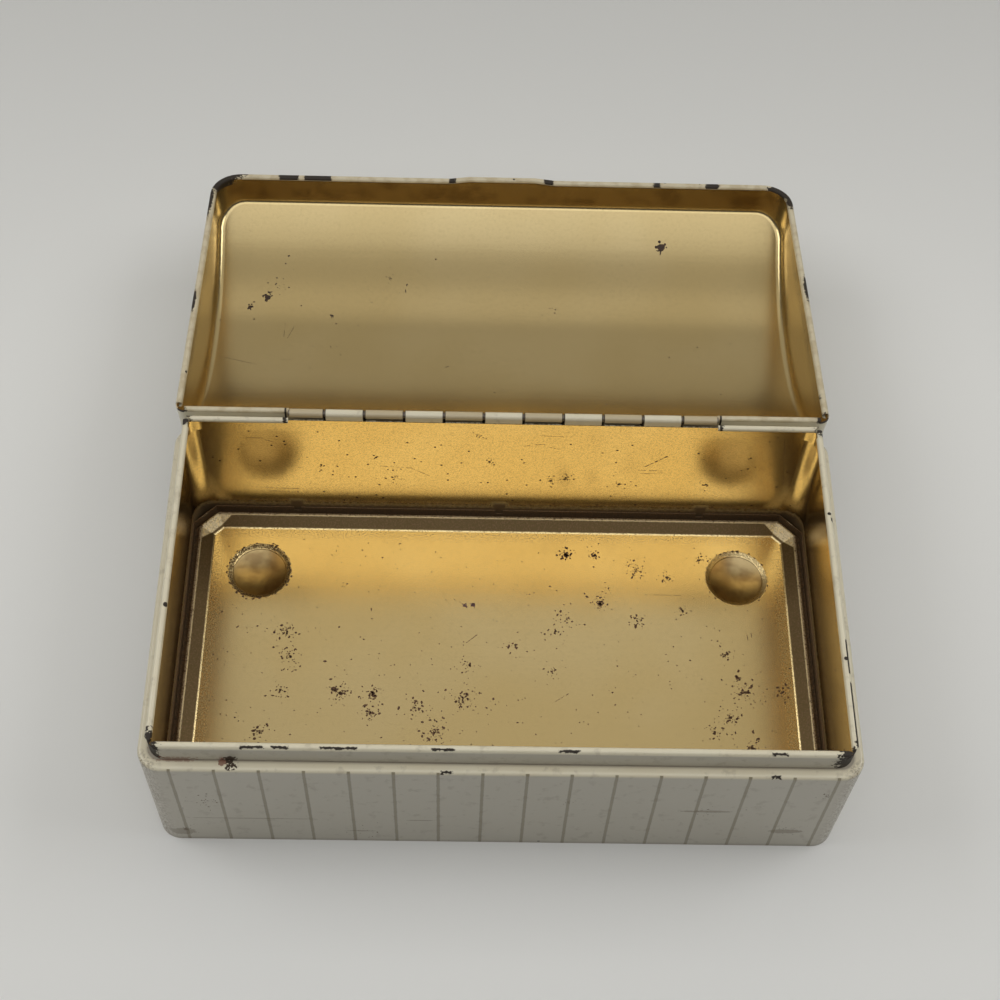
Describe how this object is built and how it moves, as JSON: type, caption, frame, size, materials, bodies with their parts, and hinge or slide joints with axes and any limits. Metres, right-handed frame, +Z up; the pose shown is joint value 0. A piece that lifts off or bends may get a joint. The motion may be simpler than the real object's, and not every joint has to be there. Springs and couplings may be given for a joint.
{
  "type": "hinged tin box",
  "caption": "Rectangular tinplate box with rounded shoulders and a domed lid on a rolled knuckle hinge, for storing small dry goods.",
  "frame": {"origin": "under the middle of the box, on the plane it stands on", "axes": "+X along the hinge to the right, +Y towards the hinge and the opened lid, +Z up"},
  "size_m": [0.21, 0.2387, 0.0615],
  "materials": {
    "body_enamel": "gloss cream enamel outside with thin taupe stripes, gold lacquer inside",
    "gold_lacquer": "gloss gold lacquer",
    "wire": "dull drawn wire",
    "lid_enamel": "gloss cream enamel outside, gold lacquer inside"
  },
  "bodies": {
    "box": {"body_wall": "body_enamel", "base_panel": "gold_lacquer", "hinge_pin": "wire"},
    "lid": {"lid": "lid_enamel"}
  },
  "joints": [
    {"name": "lid_hinge", "type": "hinge", "parent": "box", "child": "lid", "pos_m": [0, 0.0598, 0.0601], "axis": [1, 0, 0], "range_deg": [0, 191.9]}
  ]
}
